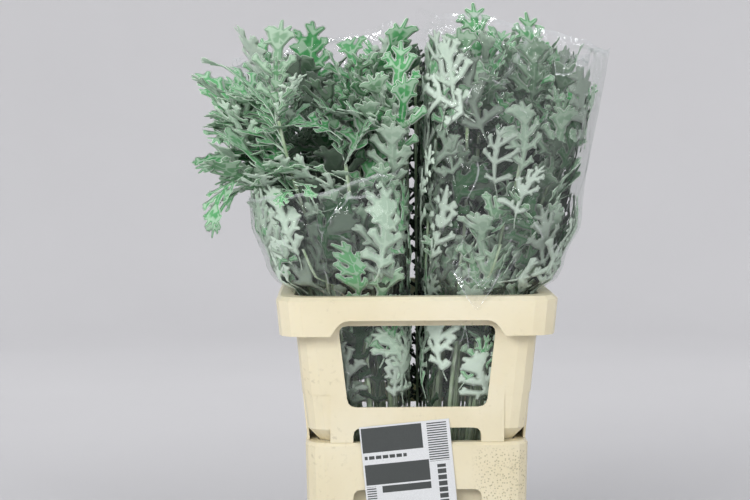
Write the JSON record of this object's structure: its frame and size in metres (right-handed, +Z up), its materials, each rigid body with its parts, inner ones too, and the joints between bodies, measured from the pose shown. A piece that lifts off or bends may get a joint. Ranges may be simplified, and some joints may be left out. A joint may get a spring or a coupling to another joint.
{
  "type": "dusty miller bunches in a flower bucket",
  "caption": "Cut dusty miller with silver lobed leaves, bunched in clear film sleeves and standing in water in a cream plastic flower bucket with a windowed collar.",
  "frame": {"origin": "middle of the bucket's flat bottom face", "axes": "+Z up, +X to the right seen from the front, -Y to the front where the label hangs"},
  "size_m": [0.4848, 0.3391, 0.6956],
  "materials": {
    "cream_plastic": "satin moulded polypropylene",
    "label_paper": "matt printed paper card",
    "water": "clear water",
    "felted_leaf": "white-felted green leaf",
    "clear_film": "clear glossy film",
    "elastic_band": "matt rubber"
  },
  "bodies": {
    "root": {"bucket": "cream_plastic", "collar": "cream_plastic", "label": "label_paper", "water": "water", "bunch_front_left": "felted_leaf", "sleeve_front_left": "clear_film", "band_front_left": "elastic_band", "bunch_front_right": "felted_leaf", "sleeve_front_right": "clear_film", "band_front_right": "elastic_band", "bunch_back_left": "felted_leaf", "sleeve_back_left": "clear_film", "band_back_left": "elastic_band", "bunch_back_right": "felted_leaf", "sleeve_back_right": "clear_film", "band_back_right": "elastic_band"}
  },
  "joints": []
}
